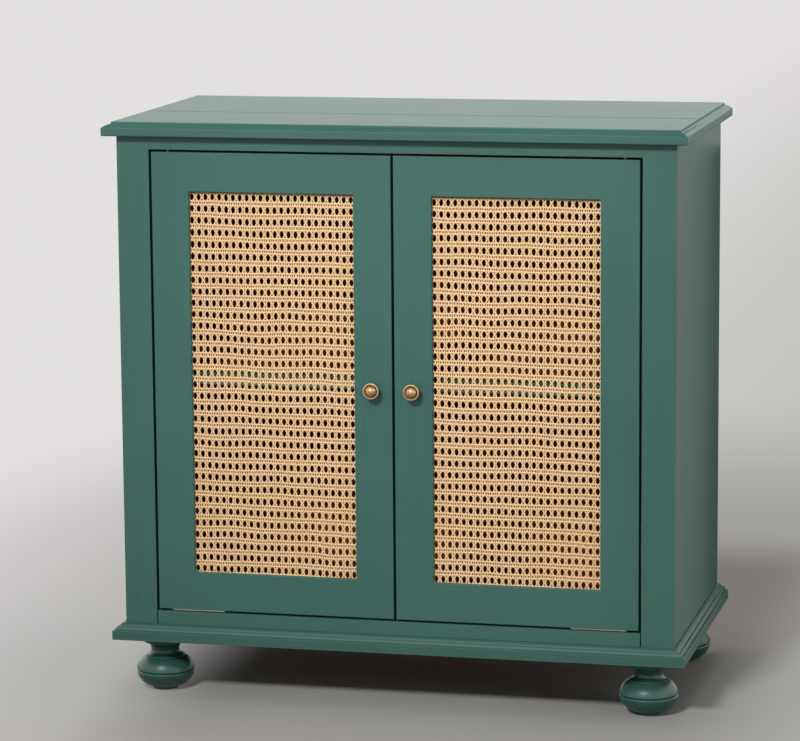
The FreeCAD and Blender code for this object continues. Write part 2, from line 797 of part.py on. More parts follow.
left_door = {
    "hinge_stile": door_stile(hinge_edge, window_left, 0),
    "lock_stile": door_stile(window_right, lock_edge, 1),
    "rail_bottom": door_rail(door_bottom, window_bottom, lower_door_tenon),
    "rail_top": door_rail(window_top, door_top, upper_door_tenon),
    "cane_beads": cane_beads(),
    "hinge_leaf_bottom": proud_leaf,
    "hinge_leaf_top": flipped(flush_leaf),
    "screws": group(door_screws),
    "knob": knob,
    "knob_screw": knob_screw,
    "strike_plate": strike.cut(strike_screw(screw_slack)),
}
for name, shape in left_door.items():
    pieces["left_door_" + name] = shape
    pieces["right_door_" + name] = mirrored(shape)
pieces["left_door_cane"] = cane_sheet(window_left)
pieces["right_door_cane"] = cane_sheet(-window_right)


# ---- Write one file for each piece ----
os.makedirs("parts", exist_ok=True)
for name, shape in sorted(pieces.items()):
    shape.exportStep("parts/%s.step" % name)
print("pieces", len(pieces), "solids", sum(len(shape.Solids) for shape in pieces.values()))
print("height", cabinet_top, "pivot", pivot_x, pivot_y, "face", face, "shelf", shelf_bottom, shelf_top)
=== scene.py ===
# %% [markdown]
# # A record cabinet with woven cane doors
#
# The real cabinet is a green painted case on four turned feet. Each of its two doors is a
# frame that holds a sheet of woven cane, and turns on a knife hinge above and below. The
# construction is loaded first, and it gives every size and place. The steps after it add
# the finishes, and the pieces that the construction only sketches, such as the weave.
# Lengths are metres: +X is to the right, +Y to the back and +Z up.

# %% Load the construction
import math

import bmesh
import bpy
from mathutils import Euler, Matrix, Vector


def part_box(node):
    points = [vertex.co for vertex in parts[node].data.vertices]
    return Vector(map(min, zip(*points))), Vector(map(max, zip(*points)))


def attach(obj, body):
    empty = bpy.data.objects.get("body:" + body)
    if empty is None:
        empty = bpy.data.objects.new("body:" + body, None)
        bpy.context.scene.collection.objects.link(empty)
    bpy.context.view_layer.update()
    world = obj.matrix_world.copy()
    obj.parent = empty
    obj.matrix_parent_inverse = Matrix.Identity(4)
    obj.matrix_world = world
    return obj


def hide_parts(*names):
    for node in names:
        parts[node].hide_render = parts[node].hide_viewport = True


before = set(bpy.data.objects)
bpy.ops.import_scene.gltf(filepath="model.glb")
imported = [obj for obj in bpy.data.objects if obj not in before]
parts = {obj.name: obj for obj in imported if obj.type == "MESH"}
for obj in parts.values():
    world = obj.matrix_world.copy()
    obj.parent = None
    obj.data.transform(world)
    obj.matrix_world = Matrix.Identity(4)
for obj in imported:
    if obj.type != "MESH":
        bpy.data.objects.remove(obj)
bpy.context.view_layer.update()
MM = 0.001

# %% [markdown]
# The later steps ask where things are again and again: how wide the window of a door is, or
# where the case's face lies. One helper gives the lowest and the highest corner of several
# parts together, and the sizes that are used most are named here.

# %% Sizes that come from the construction
def corners(*names):
    """The lowest and the highest corner of several parts together."""
    boxes = [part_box(name) for name in names]
    low = Vector([min(box[0][axis] for box in boxes) for axis in range(3)])
    high = Vector([max(box[1][axis] for box in boxes) for axis in range(3)])
    return low, high


case_low, case_high = corners("side_panel_left", "side_panel_right", "face_frame_stile_left")
FACE = case_low.y
print("case from", case_low, "to", case_high)

# %% [markdown]
# ## The camera and the lights
#
# A photographer of furniture stands well back with a long lens, a little to one side and
# above, so that the upright lines stay nearly parallel. The camera is placed first, because
# every later step is judged through it. Its turn is given as three plain angles.

# %% Camera
CAMERA_PLACE = Vector((1.1994, -5.2081, 1.3791))
CAMERA_LENS = 157.26
SENSOR_WIDTH = 36
LOOKING_DOWN = math.radians(9.516)
TURNED_LEFT = math.radians(13.385)
TILTED = math.radians(-0.439)

bpy.ops.object.select_all(action="DESELECT")
bpy.ops.object.camera_add(location=CAMERA_PLACE)
camera = bpy.context.object
camera.name = "camera"
camera.data.lens = CAMERA_LENS
camera.data.sensor_width = SENSOR_WIDTH
aimed = Euler((math.pi / 2 - LOOKING_DOWN, 0, TURNED_LEFT)).to_matrix()
camera.rotation_euler = (aimed @ Matrix.Rotation(TILTED, 3, "Z")).to_euler()
bpy.context.scene.camera = camera
bpy.context.scene.view_settings.view_transform = "Standard"
print("camera stands", round((CAMERA_PLACE - (case_low + case_high) / 2).length, 2), "m away")

# %% [markdown]
# Satin paint shows its surroundings as a soft sheen, so the studio is as important as the
# paint. One softbox stands in front, a little to the left and well above, and gives nearly
# all the light: it draws the dark band under the top and the shadow beside each knob. A weak
# one on the right reaches the side, and another fills the top from above.

# %% Softboxes
def soft_light(name, place, aim, width, height, watts, spread=180):
    """A softbox at a place, turned towards a point. Its spread is given in degrees."""
    bpy.ops.object.light_add(type="AREA", location=place)
    light = bpy.context.object
    light.name = name
    light.data.shape = "RECTANGLE"
    light.data.size = width
    light.data.size_y = height
    light.data.energy = watts
    light.data.spread = math.radians(spread)
    light.rotation_euler = (Vector(aim) - Vector(place)).to_track_quat("-Z", "Y").to_euler()
    return light


soft_light("key_light", place=(-0.49, -3.5, 2.75), aim=(0.02, -0.2, 0.62),
           width=0.7, height=0.55, watts=8.6, spread=50)
soft_light("side_light", place=(3.4, -1.6, 1.5), aim=(0.4, 0, 0.5),
           width=1.6, height=1.6, watts=6.6, spread=120)
top_light = soft_light("top_light", place=(0, 0.4, 3), aim=(0, 0, 0.8),
                       width=2.4, height=1.6, watts=18)
top_light.visible_glossy = False

# %% [markdown]
# The room is only a colour of the world. Reflections see it bright, and it gives much less
# light than it shows, so that the shadows under the case stay deep. The kind of ray decides
# which of the two strengths it meets.

# %% Room
ROOM_COLOUR = (0.83, 0.79, 0.77, 1)
ROOM_SHOWN = 2.37
ROOM_LIGHT = 0.30

world = bpy.data.worlds.new("studio")
bpy.context.scene.world = world
world.use_nodes = True
room_nodes = world.node_tree.nodes
room_links = world.node_tree.links
room = room_nodes["Background"]
room.inputs["Color"].default_value = ROOM_COLOUR
rays = room_nodes.new("ShaderNodeLightPath")
seen = room_nodes.new("ShaderNodeMath")
seen.operation = "MAXIMUM"
room_links.new(rays.outputs["Is Camera Ray"], seen.inputs[0])
room_links.new(rays.outputs["Is Glossy Ray"], seen.inputs[1])
strength = room_nodes.new("ShaderNodeMapRange")
strength.inputs["To Min"].default_value = ROOM_LIGHT
strength.inputs["To Max"].default_value = ROOM_SHOWN
room_links.new(seen.outputs[0], strength.inputs["Value"])
room_links.new(strength.outputs[0], room.inputs["Strength"])
print("room shown at", ROOM_SHOWN, "and lighting at", ROOM_LIGHT)

# %% [markdown]
# ## Finishes
#
# Every finish is a small network of shader nodes. Written out node by node it would be long
# and hard to read, so two small classes do the wiring. The first is a `Link`: one output of
# a node. Sums on links add Math nodes, so a formula reads as a formula.

# %% One output of a node
class Link:
    """One output of a shader node. A sum on links adds a Math node."""

    def __init__(self, finish, socket):
        self.finish = finish
        self.socket = socket

    def __add__(self, other):
        return self.finish.math("ADD", self, other)

    def __radd__(self, other):
        return self.finish.math("ADD", other, self)

    def __sub__(self, other):
        return self.finish.math("SUBTRACT", self, other)

    def __rsub__(self, other):
        return self.finish.math("SUBTRACT", other, self)

    def __mul__(self, other):
        return self.finish.math("MULTIPLY", self, other)


# %% [markdown]
# The second is a `Finish`: a material that knows how to add the few kinds of node that this
# cabinet needs. All its patterns are fixed to places on the object, in metres, so they keep
# their size on every board. Grain is a pattern that is drawn out along one axis.

# %% A finish
class Finish:
    """A material, with short ways of adding to it."""

    def __init__(self, name, **constants):
        self.material = bpy.data.materials.new(name)
        self.material.use_nodes = True
        self.tree = self.material.node_tree
        self.shader = self.tree.nodes["Principled BSDF"]
        for socket, value in constants.items():
            self.shader.inputs[socket.replace("_", " ")].default_value = value

    def node(self, kind, settings=None, inputs=None, output=0):
        """Adds a node: its settings first, then a value or a link for each of its sockets."""
        made = self.tree.nodes.new(kind)
        for setting, value in (settings or {}).items():
            setattr(made, setting, value)
        for socket, value in (inputs or {}).items():
            if isinstance(value, Link):
                self.tree.links.new(value.socket, made.inputs[socket])
            else:
                made.inputs[socket].default_value = value
        return Link(self, made.outputs[output])

    def math(self, operation, first, second=0.0):
        return self.node("ShaderNodeMath", {"operation": operation}, {0: first, 1: second})

    def where(self, run=None, share=1.0):
        """Places on the object, counted at a share of their length along one axis: 0, 1 or 2."""
        place = self.node("ShaderNodeTexCoord", output="Object")
        counted = [share if axis == run else 1.0 for axis in range(3)]
        return self.node("ShaderNodeMapping", None, {"Vector": place, "Scale": counted})

    def along(self, axis, origin=(0, 0, 0)):
        """How far a place is along one axis, in metres."""
        place = self.node("ShaderNodeTexCoord", output="Object")
        moved = self.node("ShaderNodeVectorMath", {"operation": "SUBTRACT"}, {0: place, 1: origin})
        return self.node("ShaderNodeSeparateXYZ", None, {0: moved}, axis)

    def noise(self, where, size, detail=2.0, roughness=0.5):
        """Cloudy values between 0 and 1 with features of about this size in metres."""
        values = {"Vector": where, "Scale": 1 / size, "Detail": detail, "Roughness": roughness}
        return self.node("ShaderNodeTexNoise", None, values)

    def rise(self, value, start, end):
        """0 up to the start, 1 from the end, and smooth between."""
        limits = {"Value": value, "From Min": start, "From Max": end}
        return self.node("ShaderNodeMapRange", {"interpolation_type": "SMOOTHSTEP"}, limits)

    def mix(self, amount, first, second):
        """The first colour where the amount is 0 and the second where it is 1."""
        return self.node("ShaderNodeMix", {"data_type": "RGBA"}, {0: amount, 6: first, 7: second}, 2)

    def bump(self, height, depth):
        """Lets a height between 0 and 1 stand up from the surface by a depth in metres."""
        values = {"Height": height, "Distance": depth, "Strength": 1.0}
        return self.node("ShaderNodeBump", None, values)

    def feed(self, socket, link):
        self.tree.links.new(link.socket, self.shader.inputs[socket])


def rgb(red, green, blue):
    """A colour as a paint chart gives it, from 0 to 255, made linear for the shader."""
    linear = []
    for level in (red / 255, green / 255, blue / 255):
        linear.append(level / 12.92 if level <= 0.04045 else ((level + 0.055) / 1.055) ** 2.4)
    return (*linear, 1)


# %% [markdown]
# ### The floor
#
# The floor is a plain pale one. Round the cabinet it takes light and shadow like any floor.
# Further off it fades into a glow, the way a photographer's paper sweep does, so no
# edge or horizon shows behind the cabinet. The fade starts at the sides of a rectangle that
# is narrower than the cabinet and reaches further to the front and back. It is the sum of a
# fast and a slow fade. The glow is painted light: it is paler on the left, where the light
# comes from, than on the right. Light that has bounced meets a darker floor, which keeps
# the underside of the case and the feet from glowing.

# %% Floor
FLOOR_SIZE = 60
FLOOR_NEAR = (0.48, 0.47, 0.45, 1)
FLOOR_UNLIT = (0.25, 0.245, 0.235, 1)
SWEEP_LEFT = (0.77, 0.75, 0.745, 1)
SWEEP_RIGHT = (0.53, 0.52, 0.495, 1)
SWEEP_TURNS = (-1.4, 0.7)
BLACK = (0, 0, 0, 1)
FADE_MIDDLE = (0.07, 0.2, 0)
FADE_HALF_WIDTH, FADE_HALF_DEPTH = 0.34, 0.58
FADE_DEEP_SHARE = 0.62
FAST_FADE, SLOW_FADE = (0, 0.25), (0.1, 1.2)
FAST_SHARE = 0.45

bpy.ops.mesh.primitive_plane_add(size=FLOOR_SIZE)
floor = bpy.context.object
floor.name = "floor"
floor_finish = Finish("floor_finish", Roughness=0.75, Specular_IOR_Level=0.0, Emission_Strength=1.0)


def outside(axis, half):
    """How far a place on the floor lies outside the rectangle, along one axis."""
    away = floor_finish.math("ABSOLUTE", floor_finish.along(axis, FADE_MIDDLE))
    return floor_finish.math("MAXIMUM", away - half, 0.0)


camera_ray = floor_finish.node("ShaderNodeLightPath", output="Is Camera Ray")
glossy_ray = floor_finish.node("ShaderNodeLightPath", output="Is Glossy Ray")
shown = floor_finish.math("MAXIMUM", camera_ray, glossy_ray)
across = outside("X", FADE_HALF_WIDTH)
deep = outside("Y", FADE_HALF_DEPTH) * FADE_DEEP_SHARE
distance = floor_finish.math("SQRT", across * across + deep * deep)
fast = floor_finish.rise(distance, *FAST_FADE)
slow = floor_finish.rise(distance, *SLOW_FADE)
far = (fast * FAST_SHARE + slow * (1 - FAST_SHARE)) * shown
# Painted light: the glow is paler on the left, where the light comes from, than on the right.
sweep = floor_finish.mix(floor_finish.rise(floor_finish.along("X"), *SWEEP_TURNS), SWEEP_LEFT, SWEEP_RIGHT)
near = floor_finish.mix(shown, FLOOR_UNLIT, FLOOR_NEAR)
floor_finish.feed("Base Color", floor_finish.mix(far, near, BLACK))
floor_finish.feed("Emission Color", floor_finish.mix(far, BLACK, sweep))
floor.data.materials.append(floor_finish.material)
print("floor fades from", FADE_HALF_WIDTH, "and", FADE_HALF_DEPTH, "m off its middle")

# %% [markdown]
# ### A flag and a ceiling
#
# A flag is a dark card just outside the picture. This one stands behind the right side and
# can't be seen. It is painted shade: it stands in for a wall in shadow close behind the
# cabinet, so the side's sheen darkens towards the back, as it does when a wall stands close
# behind a piece of furniture. The card fades out to the right, so that its edge doesn't
# show in the sheen.
#
# Overhead a room is darker than its walls. A dim card takes the ceiling's place, and only
# reflections see it. So what lies flat takes the pale sheen of the wall behind, and the
# mouldings, which also mirror the ceiling, keep their colour.

# %% Flag and ceiling
CARD_COLOUR = (0.01, 0.01, 0.01, 1)
FLAG_WIDTH, FLAG_HEIGHT = 0.14, 0.815
FLAG_BESIDE, FLAG_BEHIND = 4 * MM, 15 * MM
FLAG_FADES_FROM = 10 * MM
FLAG_DARKNESS = 0.82
CEILING_HEIGHT = 2.75
CEILING_SIZE = 4.6
CEILING_GLOW = (0.30, 0.29, 0.28, 1)

flag_place = (case_high.x + FLAG_WIDTH / 2 + FLAG_BESIDE, case_high.y + FLAG_BEHIND, FLAG_HEIGHT / 2)
bpy.ops.mesh.primitive_plane_add(size=1, location=flag_place, rotation=(math.pi / 2, 0, 0))
flag = bpy.context.object
flag.name = "flag"
flag.scale = (FLAG_WIDTH, FLAG_HEIGHT, 1)
bpy.ops.object.transform_apply(location=True, rotation=True, scale=True)
flag.visible_camera = False
flag.visible_shadow = False
# Painted shade: the card's fading darkness stands in for a shaded wall close behind the cabinet.
flag_finish = Finish("flag_finish", Base_Color=CARD_COLOUR, Roughness=1.0)
faded = flag_finish.rise(flag_finish.along("X"), case_high.x + FLAG_FADES_FROM, case_high.x + FLAG_WIDTH)
flag_finish.feed("Alpha", FLAG_DARKNESS - faded * FLAG_DARKNESS)
flag.data.materials.append(flag_finish.material)

bpy.ops.mesh.primitive_plane_add(size=CEILING_SIZE, location=(0, 0, CEILING_HEIGHT))
ceiling = bpy.context.object
ceiling.name = "ceiling"
ceiling.visible_camera = False
ceiling.visible_diffuse = False
ceiling.visible_transmission = False
ceiling.visible_shadow = False
ceiling_finish = Finish("ceiling_finish", Base_Color=CARD_COLOUR, Roughness=1.0, Specular_IOR_Level=0.0,
                        Emission_Color=CEILING_GLOW, Emission_Strength=1.0)
ceiling.data.materials.append(ceiling_finish.material)
print("flag stands at", flag_place, "and the ceiling hangs at", CEILING_HEIGHT)

# %% [markdown]
# ### Green satin paint
#
# The case is sprayed with a satin paint. A sprayed coat isn't perfectly even: its colour
# drifts a little over a board, the wood below shows as faint streaks along the grain, and
# the surface has a very fine orange-peel. The streaks run along the board, so the paint is
# made once for each direction that a board can run in. The moulding and the feet get the
# same paint a shade darker. The moulding along the sides is darker still, which is painted
# shade: the sides get little light.

# %% Paint
ACROSS, DEEP, UPRIGHT = 0, 1, 2
PAINT = rgb(52, 100, 90)
PAINT_PALE = rgb(60, 107, 97)
PAINT_DEEP = rgb(44, 91, 82)
GRAIN_SHARE = 0.04
DRIFT_SIZE = 350 * MM
STREAK_SIZE = 6 * MM
PEEL_SIZE = 2.2 * MM
PAINT_RELIEF = 0.12 * MM


def colour_drift(finish):
    return finish.noise(finish.where(), DRIFT_SIZE, 3.0)


def grain_streaks(finish, run):
    return finish.noise(finish.where(run, GRAIN_SHARE), STREAK_SIZE, 3.0, 0.6)


def green(finish, drift, streaks, lift):
    """The paint's colour. The lift is a factor each for its red, green and blue."""
    deep, middle, pale = (
        tuple(channel * factor for channel, factor in zip(colour, lift)) + (1,)
        for colour in (PAINT_DEEP, PAINT, PAINT_PALE)
    )
    drifted = finish.mix(finish.rise(drift, 0.3, 0.7), deep, pale)
    return finish.mix(finish.rise(streaks, 0.35, 0.65) * 0.5 + 0.25, drifted, middle)


def paint(name, run, shade=1.0, roughness=0.44, shine=0.5):
    """Satin paint on a board whose grain runs along an axis."""
    finish = Finish(name, Specular_IOR_Level=shine)
    drift = colour_drift(finish)
    streaks = grain_streaks(finish, run)
    peel = finish.noise(finish.where(), PEEL_SIZE, 1.0)
    finish.feed("Base Color", green(finish, drift, streaks, (shade, shade, shade)))
    finish.feed("Roughness", roughness + drift * 0.06 + streaks * 0.08)
    finish.feed("Normal", finish.bump(streaks * 0.6 + peel * 0.4, PAINT_RELIEF))
    return finish


paint_across = paint("green_paint_across", ACROSS)
paint_upright = paint("green_paint_upright", UPRIGHT)
moulding_across = paint("moulding_paint_across", ACROSS, shade=0.82, roughness=0.52)
# Painted shade: the moulding along the sides is painted darker for the little light the sides get.
shaded_moulding_deep = paint("moulding_paint_deep_shaded", DEEP, shade=0.6, roughness=0.52)
foot_paint = paint("foot_paint", ACROSS, shade=0.78, roughness=0.3, shine=0.38)
print("paints:", paint_across.material.name, moulding_across.material.name, foot_paint.material.name)

# %% [markdown]
# ### Stained wood
#
# Inside and behind, the cabinet is stained brown. Stained wood shows its growth lines: long
# streaks, narrow across the board, with finer pores between. A noise drawn out strongly
# along the board gives both, once coarse for the lines and once fine for the pores.

# %% Stain
STAIN_DARK = rgb(116, 56, 18)
STAIN_LIGHT = rgb(180, 102, 42)
LINE_SIZE = 12 * MM
PORE_SIZE = 1.6 * MM
PORE_DEPTH = 0.15 * MM


def growth_lines(finish, run):
    return finish.noise(finish.where(run, GRAIN_SHARE), LINE_SIZE, 4.0, 0.55)


def stain(name, run):
    """Stained wood on a board whose grain runs along an axis."""
    finish = Finish(name, Specular_IOR_Level=0.4)
    lines = growth_lines(finish, run)
    pores = finish.noise(finish.where(run, GRAIN_SHARE), PORE_SIZE, 2.0, 0.6)
    shade = finish.rise(lines * 0.75 + pores * 0.25, 0.35, 0.65)
    finish.feed("Base Color", finish.mix(shade, STAIN_DARK, STAIN_LIGHT))
    finish.feed("Roughness", 0.62 - shade * 0.12)
    finish.feed("Normal", finish.bump(pores, PORE_DEPTH))
    return finish


stain_across = stain("stained_wood_across", ACROSS)
stain_upright = stain("stained_wood_upright", UPRIGHT)
print("stains:", stain_across.material.name, stain_upright.material.name)

# %% [markdown]
# Two kinds of part wear both finishes. The sides are painted outside and stained inside, and
# the shelf is stained with a painted strip along its front. The strip's green is lifted paler
# and greyer, which is painted light: it stands for the light that falls on it through the cane.
# A mask made from the place on the part switches from one colour to the other, so the part
# stays one piece.

# %% Painted and stained
SIDE_COAT = (2 * MM, 1 * MM)
SHELF_STRIP = 24 * MM
SHELF_STRIP_EDGE = 0.5 * MM
# Painted light: lifts the shelf strip's red, green and blue for the light that comes through the cane.
SHELF_PAINTED_LIGHT = (2.1, 1.55, 1.2)
STREAK_RELIEF = 0.1 * MM


def painted_and_stained(name, run, mask, lift=(1, 1, 1)):
    """Paint where the mask is 1 and stain where it is 0."""
    finish = Finish(name, Specular_IOR_Level=0.5)
    painted = mask(finish)
    streaks = grain_streaks(finish, run)
    brown = finish.mix(finish.rise(growth_lines(finish, run), 0.35, 0.65), STAIN_DARK, STAIN_LIGHT)
    coat = green(finish, colour_drift(finish), streaks, lift)
    finish.feed("Base Color", finish.mix(painted, brown, coat))
    finish.feed("Roughness", 0.58 - painted * 0.2 + streaks * 0.08)
    finish.feed("Normal", finish.bump(streaks, STREAK_RELIEF))
    return finish


def outer_side(finish):
    """1 on the outer face of a side, and 0 from a little below it."""
    distance = finish.math("ABSOLUTE", finish.along("X"))
    return finish.rise(distance, case_high.x - SIDE_COAT[0], case_high.x - SIDE_COAT[1])


def shelf_front(finish):
    """1 along the front strip of the shelf."""
    edge = corners("shelf")[0].y + SHELF_STRIP
    return 1 - finish.rise(finish.along("Y"), edge, edge + SHELF_STRIP_EDGE)


side_finish = painted_and_stained("side_paint_and_stain", UPRIGHT, outer_side)
# The shelf's strip carries painted light, lifted paler and greyer.
shelf_finish = painted_and_stained("shelf_paint_and_stain", ACROSS, shelf_front, SHELF_PAINTED_LIGHT)
print("both finishes:", side_finish.material.name, shelf_finish.material.name)

# %% [markdown]
# ### Metals
#
# The knobs are aged brass: bright where fingers rub the rim and the dome, dark in the
# groove between. The distance from the knob's own axis tells these rings apart, so each
# ring's edge is given as a radius where it starts and one where it is complete.

# %% Brass
KNOB_LOW, KNOB_HIGH = corners("right_door_knob")
KNOB_MIDDLE = (KNOB_LOW + KNOB_HIGH) / 2
KNOB_FRONT = (FACE - 12 * MM, FACE - 9 * MM)
DOME_ENDS = (7.4 * MM, 8.6 * MM)
GROOVE_ENDS = (9.8 * MM, 10.6 * MM)
RIM_STARTS = (9.8 * MM, 10.8 * MM)
BRASS_BRIGHT = rgb(196, 160, 120)
BRASS_DULL = rgb(160, 124, 88)
BRASS_DARK = rgb(76, 54, 30)
BRASS_RIM = rgb(178, 158, 124)


def aged_brass():
    """Brass for both knobs: the mirror of X makes one of the other."""
    finish = Finish("aged_brass", Metallic=0.8)
    across = finish.math("ABSOLUTE", finish.along("X")) - KNOB_MIDDLE.x
    up = finish.along("Z") - KNOB_MIDDLE.z
    radius = finish.math("SQRT", across * across + up * up)
    groove = finish.rise(radius, *DOME_ENDS) * (1 - finish.rise(radius, *GROOVE_ENDS))
    front = 1 - finish.rise(finish.along("Y"), *KNOB_FRONT)
    cloud = finish.noise(finish.where(), 4 * MM, 4.0, 0.6)
    worn = finish.mix(finish.rise(cloud, 0.3, 0.7), BRASS_DULL, BRASS_BRIGHT)
    worn = finish.mix(finish.rise(radius, *RIM_STARTS) * 0.8, worn, BRASS_RIM)
    worn = finish.mix(front, BRASS_DULL, worn)
    finish.feed("Base Color", finish.mix(groove * front * 0.75, worn, BRASS_DARK))
    finish.feed("Roughness", 0.42 + cloud * 0.14 + groove * 0.2)
    finish.feed("Normal", finish.bump(cloud, 0.08 * MM))
    return finish


brass_finish = aged_brass()
print("brass for a knob at", KNOB_MIDDLE)

# %% [markdown]
# The hinges and screws are steel, brushed along their length. The lower hinge leaves are
# pale. The upper ones are painted dark, which is painted shade: they sit in the shaded gap
# above each door, so only the lower ones catch the eye.

# %% Steel
BRUSHING_SHARE = 0.02
STEEL_SHADE = rgb(120, 116, 106)


def steel(name, colour, run):
    """Brushed steel, with the brushing along an axis."""
    finish = Finish(name, Metallic=1.0)
    brushing = finish.noise(finish.where(run, BRUSHING_SHARE), 0.6 * MM, 2.0)
    dull = finish.noise(finish.where(), 10 * MM, 2.0)
    finish.feed("Base Color", finish.mix(dull * 0.5, colour, STEEL_SHADE))
    finish.feed("Roughness", 0.28 + brushing * 0.2)
    finish.feed("Normal", finish.bump(brushing, 0.03 * MM))
    return finish


leaf_finish = steel("hinge_steel", rgb(162, 166, 150), ACROSS)
# Painted shade: the upper leaves are painted dark for the shade of the gap above each door.
shaded_leaf_finish = steel("hinge_steel_painted_shade", rgb(74, 70, 62), ACROSS)
screw_finish = steel("screw_steel", rgb(190, 190, 186), UPRIGHT)
print("steels:", leaf_finish.material.name, shaded_leaf_finish.material.name, screw_finish.material.name)

# %% [markdown]
# The catch is moulded in brown plastic, with the fine grain that a mould is given so that
# finger marks don't show.

# %% Catch plastic
def moulded_plastic():
    """Brown plastic with a mould's fine grain."""
    finish = Finish("brown_plastic", Specular_IOR_Level=0.5)
    grain = finish.noise(finish.where(), 0.8 * MM, 1.0)
    finish.feed("Base Color", finish.mix(grain, rgb(58, 38, 26), rgb(70, 48, 34)))
    finish.feed("Roughness", 0.5 + grain * 0.1)
    finish.feed("Normal", finish.bump(grain, 0.05 * MM))
    return finish


plastic_finish = moulded_plastic()
print("plastic:", plastic_finish.material.name)

# %% [markdown]
# ## Which part wears which finish
#
# A part's name tells what it is, so a short list of words is enough to give every part of
# the construction its finish. The first word that is found in the name wins, so the more
# exact ones stand first. The back panel's screws were driven before it was stained, and wear
# its finish.

# %% Dress the construction
DRESS = [
    ("top_board", paint_across),
    ("side_panel", side_finish),
    ("floor_panel", stain_across),
    ("shelf_pins", leaf_finish),
    ("shelf", shelf_finish),
    ("back_panel", stain_upright),
    ("rear_top_rail", stain_across),
    ("stile", paint_upright),
    ("rail_top", paint_across),
    ("rail_bottom", paint_across),
    ("plinth_rail_rear", stain_across),
    ("plinth_rail_front", moulding_across),
    ("plinth_rail", shaded_moulding_deep),
    ("base_moulding_front", moulding_across),
    ("base_moulding", shaded_moulding_deep),
    ("foot_bolts", screw_finish),
    ("foot", foot_paint),
    ("hinge_leaf_top", shaded_leaf_finish),
    ("hinge_leaf", leaf_finish),
    ("hinge_screws", leaf_finish),
    ("catch_block", stain_across),
    ("magnetic_catch", plastic_finish),
    ("cane_beads", paint_upright),
    ("cane", stain_upright),
    ("knob_screw", screw_finish),
    ("knob", brass_finish),
    ("strike_plate", screw_finish),
    ("screws", screw_finish),
]


def dress(part_name):
    """Gives a part the finish of the first word that its name holds."""
    for word, finish in DRESS:
        if word in part_name:
            mesh = parts[part_name].data
            mesh.materials.clear()
            mesh.materials.append(finish.material)
            return finish.material.name
    raise ValueError("no finish for " + part_name)


worn = {name: dress(name) for name in sorted(parts)}
print("dressed", len(worn), "parts in", len(set(worn.values())), "finishes")

# %% [markdown]
# ## How the new pieces are made
#
# Each new piece is modelled the way a person would do it by hand: a simple form is added at
# its size and place, then changed in edit mode. The first helpers set a form down, with its
# place moved into its mesh, so that every finished piece has the cabinet's own origin.

# %% Forms and their place
def alone(piece):
    """Makes one piece the only selected and the active one."""
    bpy.ops.object.select_all(action="DESELECT")
    piece.select_set(True)
    bpy.context.view_layer.objects.active = piece


def set_down(name):
    """Names the form just added, and moves its place into its mesh."""
    piece = bpy.context.object
    piece.name = name
    piece.data.name = name
    bpy.ops.object.transform_apply(location=True, rotation=True, scale=True)
    return piece


def add_box(name, low, high):
    """A box between two corners."""
    low, high = Vector(low), Vector(high)
    bpy.ops.object.select_all(action="DESELECT")
    bpy.ops.mesh.primitive_cube_add(size=1, location=(low + high) / 2, scale=high - low)
    return set_down(name)


# %% [markdown]
# By hand, faces are picked with the mouse. Here a rule picks them, by where they are or
# where they face. Modifiers are applied at once, so each piece is plain geometry when it is
# handed over to its body.

# %% Picking, modifiers and handing over
TOUCHING = 0.01 * MM
MERGED = 0.001 * MM


def same(first, second):
    """Whether two distances are the same, but for rounding."""
    return abs(first - second) < TOUCHING


def choose(piece, kind, rule):
    """In edit mode: selects the corners (VERT), EDGEs or FACEs that a rule picks."""
    bpy.ops.mesh.select_mode(type=kind)
    bpy.ops.mesh.select_all(action="DESELECT")
    mesh = bmesh.from_edit_mesh(piece.data)
    elements = {"VERT": mesh.verts, "EDGE": mesh.edges, "FACE": mesh.faces}[kind]
    found = [element for element in elements if rule(element)]
    for element in found:
        element.select_set(True)
    bmesh.update_edit_mesh(piece.data)
    return len(found)


def cut_across(place, normal):
    """Cuts the whole mesh in edit mode along a plane."""
    bpy.ops.mesh.select_all(action="SELECT")
    bpy.ops.mesh.bisect(plane_co=place, plane_no=normal)


def add_modifier(piece, kind, **settings):
    """Adds a modifier, sets it and applies it."""
    alone(piece)
    modifier = piece.modifiers.new(kind.lower(), kind)
    for setting, value in settings.items():
        setattr(modifier, setting, value)
    bpy.ops.object.modifier_apply(modifier=modifier.name)


def smooth(piece, degrees=35):
    """Shades a piece smooth, but for edges that turn more than this."""
    alone(piece)
    bpy.ops.object.shade_smooth_by_angle(angle=math.radians(degrees))


def hand_over(piece, body, finishes, *replaced):
    """Gives a finished piece its body and its finishes, and hides the parts it stands for."""
    slots = [face.material_index for face in piece.data.polygons]
    piece.data.materials.clear()
    for finish in finishes:
        piece.data.materials.append(finish.material)
    piece.data.polygons.foreach_set("material_index", slots)
    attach(piece, body)
    if replaced:
        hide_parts(*replaced)
    print(piece.name, "rides on", body, "with", len(piece.data.polygons), "faces")


# %% [markdown]
# ## Door frames
#
# Each door is joined from two stiles and two rails, but paint covers the joints, so a door
# looks like one frame. That's how it is modelled: a rectangle loses its face, and its open
# edge is extruded step by step round the cross-section of the frame. The steps go over the
# face to the window, back to the cane, out by the rebate, back to the rear, and out round to
# the start.

# %% A frame extruded from its edge
def go_round(now, after, middle):
    """Extrudes the open edge from one rectangle (half width, half height, depth) to the next."""
    bpy.ops.mesh.extrude_edges_move(TRANSFORM_OT_translate={"value": (0, after[2] - now[2], 0)})
    bpy.ops.transform.resize(value=(after[0] / now[0], 1, after[1] / now[1]), center_override=middle)


